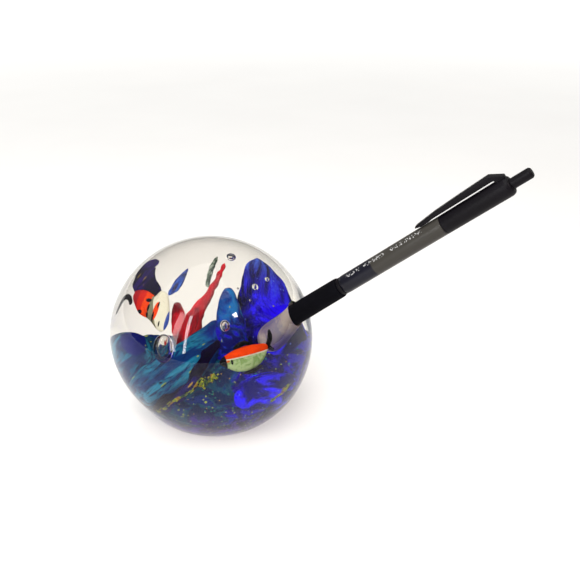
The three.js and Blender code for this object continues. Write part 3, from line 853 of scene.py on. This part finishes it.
def glass_with_bubbles():
    bm = clear_globe()
    bmesh.ops.recalc_face_normals(bm, faces=bm.faces)
    for place, semi in bubbles:
        hollow = oval(at_globe(*place), semi, 4)
        bmesh.ops.reverse_faces(hollow, faces=hollow.faces)
        joined(bm, hollow)
    return bm


globe = add_piece("clear_glass_globe", glass_with_bubbles(), CLEAR_GLASS, "globe", "clear_glass",
                  "clear_casing", "clear_core", sharp=35, outward=False)
globe.data.materials.append(SOCKET_GLASS)
WALL_OUT = (SOCKET_R + 0.3) * MM
WALL_TOP = (PEN_INSERT - 0.6) * MM
pen_inverse = PEN.inverted()
for face in globe.data.polygons:
    seen = pen_inverse @ face.center
    if math.hypot(seen.x, seen.y) < WALL_OUT and seen.z < WALL_TOP:
        face.material_index = 1
print("socket wall faces:", sum(face.material_index for face in globe.data.polygons))

# %% [markdown]
# The reef ground: a low hill of coloured glass that fills the bottom of the inner gather and
# reaches the flat base in a disc. A fine grid is raised to the hill's height and cut to the
# gather's ball.
# %% Reef ground
REEF_LOW = 14
REEF_RIDGE = 17
RIDGE_Y = 8
RIDGE_SPREAD = 24
REEF_WAVES = 1.3
REEF_LUMPS = ((0.7, 0, 4), (0.35, 5, 1.7))     # height, place in the noise, and size of the lumps
FOOT = [(0, 0), (18.6, 0), (19.4, 2.6), (23, 6.4), (26.6, 10.6), (26.2, 13.2), (0, 13.2)]


def reef_height(x, y):
    """Height of the ground, all in millimetres from the globe's axis and the base."""
    ridge = math.exp(-((y - RIDGE_Y) / RIDGE_SPREAD) ** 2)
    waves = math.sin(x / 6 + 1) * math.cos(y / 7)
    return REEF_LOW + REEF_RIDGE * ridge + REEF_WAVES * waves


def reef_ground():
    bm = bmesh.new()
    bmesh.ops.create_grid(bm, x_segments=110, y_segments=110, size=40 * MM)
    for vert in bm.verts:
        x, y = vert.co.x / MM, vert.co.y / MM
        lumps = sum(high * noise.noise(Vector((x, y, at)) / size) for high, at, size in REEF_LUMPS)
        vert.co.z = (reef_height(x, y) + lumps) * MM
    sides = bmesh.ops.extrude_face_region(bm, geom=bm.faces[:])
    for item in sides["geom"]:
        if isinstance(item, bmesh.types.BMVert):
            item.co.z = -5 * MM
    moved(bm, Matrix.Translation((GLOBE_C.x, 0, 0)))
    ball = bmesh.new()
    bmesh.ops.create_uvsphere(ball, u_segments=120, v_segments=80, radius=GATHER_R)
    mound = cut_by(bm, moved(ball, Matrix.Translation(GLOBE_C)), "INTERSECT")
    foot = moved(spun(FOOT, 96), Matrix.Translation((GLOBE_C.x, 0, 0)))
    for vert in foot.verts:
        lean(vert.co)
    return cut_by(mound, foot, "UNION")


add_piece("reef_ground", reef_ground(), REEF, "globe", "reef_glass", "reef_base")

# %% [markdown]
# The wave, the mound and the drifts are pulled lobes of glass lying on the ground. A bent rod with
# its own radius at each point has the right swelling, and noise gives it the uneven skin of hot
# glass.
# %% Lobes on the ground
wave = limb(all_at_globe((-25, -10, 22), (-17, -6, 25), (-8, -1, 30), (-1, 4, 35), (3, 7, 40)),
            [6.5, 7.5, 6.5, 4.8, 2.6], rings=70, sides=64)
in_glass("teal_wave", roughen(wave, 0.8, 5), TEAL, "teal_glass")

mound = oval(at_globe(-25, 4, 25.8), (8.5, 10, 12))
in_glass("left_mound", roughen(mound, 0.9, 6, 3.0), TEAL, "teal_glass")

band = limb(all_at_globe((-18.5, -20, 19), (-10.4, -10, 24.6), (-5.1, -6, 30.4),
                         (-1.8, -3, 33.7), (2.2, 1, 37.3)),
            [2.7, 3.3, 2.7, 1.9, 1.1], Vector((0.1, -0.8, 0.6)), 0.5, 70, 48)
in_glass("violet_band", roughen(band, 0.9, 3, 5.0), BAND, "violet_glass")

drift = oval(at_globe(19, -9, 22), (12, 11, 7))
in_glass("cobalt_drift", roughen(drift, 1.0, 6, 7.0), COBALT, "cobalt_glass")


# %% [markdown]
# The peaks are points of hot glass pulled straight up with tweezers, so they are wide at the foot
# and run out into a rounded tip. Each is a turned outline, stretched to its width and depth.
# %% Peaks
def peak(x, y, foot, top, wide, deep, power=0.62):
    """A pulled point of glass: wide below, narrowing in one long curve to a rounded tip."""
    height = top - foot
    outline = [(0, 0)]
    for i in range(40):
        t = i / 40
        outline.append((math.cos(t * math.pi / 2) ** power, t * height))
    outline.append((0, height))
    bm = spun([(r / MM, z) for r, z in outline], 64)
    stretch = Matrix.Diagonal((wide * MM, deep * MM, 1, 1))
    return moved(bm, Matrix.Translation(at_globe(x, y, foot)) @ stretch)


tall_peak = peak(15.5, 12, 22, 63.5, 11.5, 7.2)
in_glass("cobalt_peak", roughen(tall_peak, 1.0, 6, 9.0), COBALT, "cobalt_glass")
small_peak = peak(5.6, 3.2, 22, 55.5, 5.8, 4.2, 0.45)
in_glass("azure_peak", roughen(small_peak, 0.5, 4, 11.0), AZURE, "cobalt_glass")


# %% [markdown]
# Frit is crushed glass that sticks to the hot surface and is drawn out with it. A trail is many
# small grains along a path, each with its own size, turned the way of the pull.
# %% Frit trails
GRAINS = 48


def frit_trail(places, radius, drawn, seed):
    """Grains round a path: the trail's radius in millimetres, and how much they are drawn out."""
    grains = random.Random(seed)
    points = all_at_globe(*places)
    made = []
    for _ in range(GRAINS):
        bm = bmesh.new()
        bmesh.ops.create_icosphere(bm, subdivisions=2, radius=1)
        size = [grains.uniform(0.14, 0.40) * radius * MM for _ in range(3)]
        size[2] *= grains.uniform(1.5, 3.5) * drawn
        aside = Vector([grains.gauss(0, 0.5 * radius * MM) for _ in range(3)])
        t = grains.uniform(0.03, 0.97)
        along = through_points(points, t + 0.02) - through_points(points, t - 0.02)
        turn = along.to_track_quat("Z", "Y").to_matrix().to_4x4()
        where = Matrix.Translation(through_points(points, t) + aside)
        grain = moved(bm, where @ turn @ Matrix.Diagonal((*size, 1)))
        made.append(roughen(grain, 0.12, 0.5))
    return joined(*made)


frit_places = {
    "frit_trail_left": ([(-19, -23.4, 20), (-13.8, -18, 22.8), (-6.4, -13, 26),
                         (-2.9, -10.4, 29.4)], 0.6, 1.8),
    "frit_trail_middle": ([(-3.2, -8.8, 26.2), (-0.8, -7.4, 27.6), (1.2, -6.6, 28.3)], 1.2, 0.5),
    "frit_trail_right": ([(22.8, -20.6, 22.2), (27, -17.2, 24.4), (29.6, -13.7, 26.2)], 0.8, 1.3)}
for seed, (name, (places, radius, drawn)) in enumerate(frit_places.items()):
    in_glass(name, frit_trail(places, radius, drawn, seed), FRIT, "frit_glass")

# %% [markdown]
# The coral and the weeds are drawn rods of glass. The coral is a stem with one side branch, both
# thinner towards the tip. The leaf, the dark veil and the strand are flatter rods laid high up.
# %% Coral, leaf, wisp and strand
coral = joined(
    limb(all_at_globe((-8, 10, 30), (-7.4, 10, 36), (-5.1, 10, 41.5), (-2.2, 10, 46.5),
                      (0.4, 10, 51.5), (2.4, 10, 56), (4.4, 10, 61)),
         [3.8, 3.5, 2.2, 1.45, 0.95, 0.8, 0.55]),
    limb(all_at_globe((-8.6, 10, 33), (-10.2, 10, 38.5), (-10.8, 10, 42), (-10.8, 10, 44.8)),
         [3.2, 2.5, 1.8, 1.2]))
in_glass("red_coral", roughen(coral, 0.5, 2.5), CORAL, "coral_glass")


def laid(place, points, radii):
    """A flattened rod laid on the gather, through points in the place's own millimetres."""
    across = place.to_3x3() @ Vector((0, 1, 0))
    return limb([place @ (Vector(p) * MM) for p in points], radii, across, 0.5, 30, 20)


leaf = laid(on_gather(-35.5, 61, 88), [(-6.9, 0, 0.2), (-3, 0, -0.3), (1.5, 0, 0.1), (6.9, 0, 0.7)],
            [0.4, 1.9, 1.8, 0.3])
in_glass("blue_leaf", roughen(leaf, 0.3, 1.5), LEAF, "leaf_glass")
wisp = limb([on_gather(-100, 58).translation, on_gather(-94, 49).translation,
             on_gather(-72, 47).translation, on_gather(-46, 50).translation], [1.6, 5.2, 5.0, 1.0],
            Vector((-0.63, -0.2, 0.75)), 0.24, 60, 40)
in_glass("indigo_wisp", roughen(wisp, 0.5, 3, 13.0), VIOLET, "violet_glass")
strand = limb(all_at_globe((1.2, -17.7, 70.3), (1.6, -12.5, 72.7), (2.6, -7, 74.2),
                           (3.8, -1.5, 74.8)), [0.8, 1.0, 0.9, 0.5])
in_glass("smoke_strand", roughen(strand, 0.3, 1.5), SMOKE, "smoke_glass")


# %% [markdown]
# A lampwork fish is a flattened ball of glass, joined from rods of other colours, so it is one
# rounded body cut into its coloured parts. Fins and tails are thin black rods laid on it.
# %% Fish
ONE_OUTLINE = [(-9.5, 0.8), (-8.2, 2.2), (-6, 2.9), (-3.5, 3.5), (-1, 3.8), (2.8, 3.7), (6.4, 3),
               (10.2, 2), (11.4, 0.7), (10.4, -1.6), (7.5, -4.6), (4, -6), (1.5, -6.2), (-3.1, -5),
               (-6.1, -2.8), (-8.4, -0.9)]
TWO_OUTLINE = [(-11, 6.7), (-7.5, 7.5), (-3.5, 7.3), (-0.5, 6.4), (1.4, 5.9), (2.9, 8.4),
               (4.6, 8.5), (6.8, 7.3), (9.2, 3.5), (11.2, -1.5), (11.2, -5), (9.4, -7.2),
               (6.6, -6.6), (3.4, -4.6), (0.4, -3.2), (-4.6, -1.9), (-8.5, 1.2), (-11, 4)]
FISH_HALF = 2.2
FISH_CENTRE = (1, 1)


def fish_body(place, outline):
    """A flat rounded body: a ball whose reach in each direction follows an outline."""
    middle = Vector((FISH_CENTRE[0], 0, FISH_CENTRE[1]))
    around = [Vector(point) - Vector(FISH_CENTRE) for point in outline]
    around.append(around[0])
    smooth = [through_points(around, i / 180) for i in range(180)]
    reach = sorted((math.atan2(way.y, way.x), way.length) for way in smooth)
    before = (reach[-1][0] - 2 * math.pi, reach[-1][1])
    after = (reach[0][0] + 2 * math.pi, reach[0][1])
    reach = [before] + reach + [after]
    bm = bmesh.new()
    bmesh.ops.create_icosphere(bm, subdivisions=5, radius=1)
    for vert in bm.verts:
        angle = math.atan2(vert.co.z, vert.co.x)
        k = next(i for i in range(1, len(reach)) if reach[i][0] >= angle)
        (a0, r0), (a1, r1) = reach[k - 1], reach[k]
        out = r0 + (r1 - r0) * (angle - a0) / max(a1 - a0, 1e-9)
        vert.co = (middle + Vector((vert.co.x * out, vert.co.y * FISH_HALF, vert.co.z * out))) * MM
    return moved(bm, place)


def sliced(bm, place, *planes):
    """Keeps the part of a fish behind each (point, normal) plane given in its local millimetres."""
    for point, normal in planes:
        geometry = bm.verts[:] + bm.edges[:] + bm.faces[:]
        cut = bmesh.ops.bisect_plane(bm, geom=geometry, plane_co=place @ (Vector(point) * MM),
                                     plane_no=place.to_3x3() @ Vector(normal), clear_outer=True)
        edges = [e for e in cut["geom_cut"] if isinstance(e, bmesh.types.BMEdge)]
        bmesh.ops.holes_fill(bm, edges=edges)
    return bm


HEAD_AT = -6.6           # the seams between the colours, along each fish
FACE_AT = 3.5
STRIPE_AT = -0.5
SEAM = 0.1
LEFT, RIGHT, UP, DOWN = (-1, 0, 0), (1, 0, 0), (0, 0, 1), (0, 0, -1)
fish_pieces = {
    "fish_one_head": (FISH_BLACK, "fish_black_glass", [((HEAD_AT - SEAM, 0, 0), RIGHT)]),
    "fish_one_back": (FISH_ORANGE, "fish_orange_glass", [((HEAD_AT, 0, 0), LEFT),
                                                         ((0, 0, SEAM), DOWN)]),
    "fish_one_belly": (FISH_GREEN, "fish_green_glass", [((HEAD_AT, 0, 0), LEFT), ((0, 0, 0), UP)]),
    "fish_two_face": (FISH_WHITE, "fish_white_glass", [((FACE_AT, 0, 0), LEFT)]),
    "fish_two_stripe": (FISH_STRIPE, "fish_orange_glass", [((FACE_AT - SEAM, 0, 0), RIGHT),
                                                           ((STRIPE_AT, 0, 0), LEFT)]),
    "fish_two_flank": (FISH_RED, "fish_red_glass", [((STRIPE_AT - SEAM, 0, 0), RIGHT)])}
for name, (paint, slot, planes) in fish_pieces.items():
    place, outline = (FISH_ONE, ONE_OUTLINE) if "one" in name else (FISH_TWO, TWO_OUTLINE)
    in_glass(name, sliced(fish_body(place, outline), place, *planes), paint, slot)

fish_fins = {
    "fish_one_dorsal_fin": [([(-2.6, 0, 4.2), (0, 0, 4.9), (2.4, 0, 5.2), (4.4, 0, 3.8)],
                             [0.4, 1.1, 0.9, 0.5])],
    "fish_one_pelvic_fin": [([(-1.6, -1.9, -6.1), (2.8, -2.3, -6.5), (7.0, -1.6, -5.7)],
                             [0.5, 1, 0.5])],
    "fish_one_tail": [([(11.2, 0, 0.4), (13.2, 0.6, 3.2), (13.8, 1.4, 6.4)], [1.0, 1.1, 0.5]),
                      ([(11.2, 0, 0.4), (12.4, 0.7, -1), (13.6, 1.4, -2.4)], [1.0, 0.8, 0.6])],
    "fish_two_tail": [([(-10.9, 0.5, 1.2), (-14.5, 2.6, 3.8), (-19, 5.7, 3.4), (-22.3, 8, -2.8)],
                       [0.9, 1.1, 1.0, 0.5])],
    "fish_two_top_fin": [([(-4, 0, 7.4), (-1.5, 0, 7), (0.8, 0, 5.9)], [0.4, 0.7, 0.5])]}
for name, rods in fish_fins.items():
    place = FISH_ONE if "one" in name else FISH_TWO
    in_glass(name, joined(*[laid(place, points, radii) for points, radii in rods]), FISH_BLACK,
             "fish_black_glass")

# %% [markdown]
# The pen is turned work: every round part is an outline spun about the pen's axis and then moved
# to the pen's place. Corners are softened in the outline, as moulded plastic has no sharp edge.
# %% Pen sizes
PEN_LENGTH = 143
NOSE_LENGTH = 12
GRIP_END = 51.2
HOUSING_START = 104
HOUSING_END = 134.5
CLIP_TAIL = 91.7
GRIP_R = 4.5
CORE_R = 3.4
BARREL_R = 3.98
BORE_R = 2.75
BUTTON_R = 2.15


def pen_part(name, outline, material, slot, body="pen", soft=0.25, closed=True):
    """A turned part in place of the CAD solid of its name; soft is the radius of its corners."""
    bm = spun(softened(outline, soft, closed), closed=closed)
    return add_piece(name, moved(bm, PEN), material, body, slot, name)


print("pen length, mm:", PEN_LENGTH, "and in the socket, mm:", PEN_INSERT)

# %% [markdown]
# The parts from the point up: a smoke-black nose, a matt grip drawn over the barrel's thinner end,
# the barrel, a collar that hides the seam, the housing that carries the clip, and the button.
# %% Pen body
pen_part("pen_nose", [(1.3, 0), (1.9, 0), (2.9, 5), (3.75, 9.5), (3.9, NOSE_LENGTH - 0.1),
         (BORE_R, NOSE_LENGTH - 0.1), (BORE_R, 9.3), (1.5, 8.4)], NOSE, "barrel_plastic")
pen_part("pen_grip", [(CORE_R + 0.1, NOSE_LENGTH), (4.1, NOSE_LENGTH), (GRIP_R, NOSE_LENGTH + 1.2),
         (GRIP_R + 0.08, 30), (GRIP_R - 0.12, GRIP_END - 0.8), (4.15, GRIP_END),
         (CORE_R + 0.1, GRIP_END)], GRIP, "grip_rubber", soft=0.5)
pen_part("pen_barrel", [(BORE_R, NOSE_LENGTH), (CORE_R, NOSE_LENGTH), (CORE_R, GRIP_END + 1.9),
         (BARREL_R - 0.25, GRIP_END + 1.9), (BARREL_R, GRIP_END + 2.6),
         (BARREL_R, HOUSING_START - 0.1), (BORE_R, HOUSING_START - 0.1)], BARREL, "barrel_plastic",
         soft=0.15)
pen_part("pen_collar", [(CORE_R + 0.1, GRIP_END + 0.2), (3.85, GRIP_END + 0.2),
         (3.85, GRIP_END + 1.7), (CORE_R + 0.1, GRIP_END + 1.7)], HOUSING, "housing_plastic",
         soft=0.15)
pen_part("clip_housing", [(BUTTON_R + 0.15, HOUSING_END - 4), (BORE_R, HOUSING_END - 6),
         (BORE_R, HOUSING_START), (BARREL_R, HOUSING_START), (BARREL_R + 0.1, HOUSING_END - 1.6),
         (BARREL_R - 0.3, HOUSING_END - 0.4), (BARREL_R - 0.8, HOUSING_END),
         (BUTTON_R + 0.15, HOUSING_END)], HOUSING, "housing_plastic")
pen_part("push_button", [(0, 118.3), (2.35, 118.3), (2.35, 128), (BUTTON_R, 128.6),
         (BUTTON_R, PEN_LENGTH - 0.7), (BUTTON_R - 0.55, PEN_LENGTH), (0, PEN_LENGTH)], HOUSING,
         "housing_plastic", "button", closed=False)

# %% [markdown]
# The clip is drawn from the side as one outline, given its width, and its edges are rounded.
# %% Clip
CLIP_HALF = 1.7
CLIP_EDGE = 0.35


def clip_shape():
    side = [(3.4, 129.9), (4.7, 129.9), (4.8, 128.8), (4.6, 101.6), (4.3, 100.2), (4.25, 96.4),
            (4.9, CLIP_TAIL + 2), (5.6, CLIP_TAIL + 2.6), (6.6, 104), (7.15, 116), (7.6, 128.9),
            (4.6, 134), (3.4, 134)]
    bm = bmesh.new()
    outline = [bm.verts.new((-x * MM, -CLIP_HALF * MM, z * MM)) for x, z in side]
    flank = bm.faces.new(outline)
    grown = bmesh.ops.extrude_face_region(bm, geom=[flank])
    far = [v for v in grown["geom"] if isinstance(v, bmesh.types.BMVert)]
    bmesh.ops.translate(bm, verts=far, vec=(0, 2 * CLIP_HALF * MM, 0))
    bmesh.ops.recalc_face_normals(bm, faces=bm.faces)
    bmesh.ops.bevel(bm, geom=bm.edges[:], offset=CLIP_EDGE * MM, segments=3, profile=0.5,
                    affect="EDGES", material=-1)
    return moved(bm, PEN)


add_piece("pen_clip", clip_shape(), HOUSING, "clip", "housing_plastic", "pen_clip")

# %% [markdown]
# Inside the pen the CAD's own plain solids are already the real shapes, so they only get a finish.
# %% Inside the pen
for name, material in (("cam_rotor", CAM), ("refill_tube", REFILL), ("ink_column", INK),
                       ("refill_point", BRASS), ("tip_ball", STEEL)):
    cad = frame["nodes"][name]
    cad.data.materials.clear()
    cad.data.materials.append(material)
    print(name, "keeps its CAD shape")

# %% [markdown]
# The return spring is a helix of steel wire between the nose and the refill's shoulder. In the real
# pen it is squashed towards the nose as the refill slides.
# %% Return spring
SPRING_FROM = 9.92
SPRING_TO = 22.28
SPRING_R = 2.0
SPRING_TURNS = 7
WIRE_R = 0.22
TURN_STEPS = 12
coil = []
for i in range(TURN_STEPS * SPRING_TURNS + 1):
    turn = i * 2 * math.pi / TURN_STEPS
    height = SPRING_FROM + (SPRING_TO - SPRING_FROM) * i / (TURN_STEPS * SPRING_TURNS)
    coil.append(PEN @ (Vector((SPRING_R * math.cos(turn), SPRING_R * math.sin(turn), height)) * MM))
wire = limb(coil, [WIRE_R, WIRE_R], PEN_AXIS, rings=420, sides=12, cap=0.002)
spring = add_piece("return_spring", wire, STEEL, "pen", "spring_steel", "return_spring")
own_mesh(spring)


# %% [markdown]
# A plain studio: a pale floor that runs out of sight and glows faintly far off, so that it has no
# dark edge, and a soft even sky that the camera sees as white.
# %% Floor and sky
FLOOR_HALF = 6
FLOOR_NEAR = 0.4         # the glow starts and is full at these distances in metres
FLOOR_FAR = 2.0
FLOOR_GLOW = 0.6
FLOOR_DROP = 0.02        # millimetres, so that the floor and the base don't share a face
SKY_STRENGTH = 0.9
floor_bm = bmesh.new()
bmesh.ops.create_grid(floor_bm, x_segments=1, y_segments=1, size=FLOOR_HALF)
floor_mesh = bpy.data.meshes.new("floor")
floor_bm.to_mesh(floor_mesh)
floor_bm.free()
floor = bpy.data.objects.new("floor", floor_mesh)
bpy.context.scene.collection.objects.link(floor)
floor.location.z = -FLOOR_DROP * MM
floor_material, floor_tree = new_material("floor")
floor_place = node(floor_tree, "ShaderNodeTexCoord").outputs["Object"]
floor_grain = noise_field(floor_tree, floor_place, 9.0)
floor_colour = ramp(floor_tree, floor_grain, [(0.3, (0.85, 0.85, 0.84)), (0.7, (0.87, 0.87, 0.86))])
floor_shader = principled(floor_tree, floor_colour, 0.7)
far_off = fade(floor_tree, length_of(floor_tree, floor_place), FLOOR_NEAR, FLOOR_FAR)
glow = math_node(floor_tree, "MULTIPLY", far_off, FLOOR_GLOW)
floor_tree.links.new(glow, floor_shader.inputs["Emission Strength"])
floor_mesh.materials.append(floor_material)

world = bpy.data.worlds.new("studio")
world.use_nodes = True
sky_tree = world.node_tree
sky = node(sky_tree, "ShaderNodeTexCoord").outputs["Generated"]
sky_height = fade(sky_tree, axis_of(sky_tree, sky, "Z"), -0.1, 0.9)
sky_colour = ramp(sky_tree, sky_height, [(0.0, (0.16, 0.155, 0.15)), (0.35, (0.40, 0.39, 0.37)),
                                         (0.75, (0.80, 0.79, 0.77)), (1.0, (1.0, 0.99, 0.97))])
sky_seen = node(sky_tree, "ShaderNodeLightPath").outputs["Is Camera Ray"]
sky_colour = mixed(sky_tree, sky_seen, sky_colour, (1.0, 1.0, 0.99))
sky_tree.links.new(sky_colour, sky_tree.nodes["Background"].inputs["Color"])
sky_tree.nodes["Background"].inputs["Strength"].default_value = SKY_STRENGTH
bpy.context.scene.world = world
print("floor and sky ready")


# %% [markdown]
# The lamps are soft panels turned to the globe: a wide one overhead, two narrow upright ones that
# leave the streaks of a window in the glass, and a small warm one that leaves a spark.
# %% Lamps
def soft_lamp(name, place, size, power, height=None):
    """A panel lamp: its place and size in metres, its power in watts, square without a height."""
    light = bpy.data.lights.new(name, "AREA")
    light.energy = power
    light.size = size
    if height:
        light.shape = "RECTANGLE"
        light.size_y = height
    lamp = bpy.data.objects.new(name, light)
    lamp.location = place
    lamp.rotation_euler = (GLOBE_C - Vector(place)).to_track_quat("-Z", "Y").to_euler()
    bpy.context.scene.collection.objects.link(lamp)
    return lamp


def towards(direction, distance):
    return GLOBE_C + Vector(direction).normalized() * distance


soft_lamp("overhead", (-0.25, -0.15, 1.25), 1.2, 9)
WINDOW_WAY = (-0.465, -0.747, 0.476)
beside = Vector(WINDOW_WAY).cross((0, 0, 1)).normalized()
for name, offset, width in (("window_left", -0.09, 0.04), ("window_right", 0.05, 0.09)):
    soft_lamp(name, towards(WINDOW_WAY, 0.7) + beside * offset, width, 1.5, height=0.5)
spark = soft_lamp("spark", towards((0.487, -0.518, 0.704), 0.8), 0.06, 1.4)
spark.data.color = (1.0, 0.80, 0.76)
print("lamps ready")
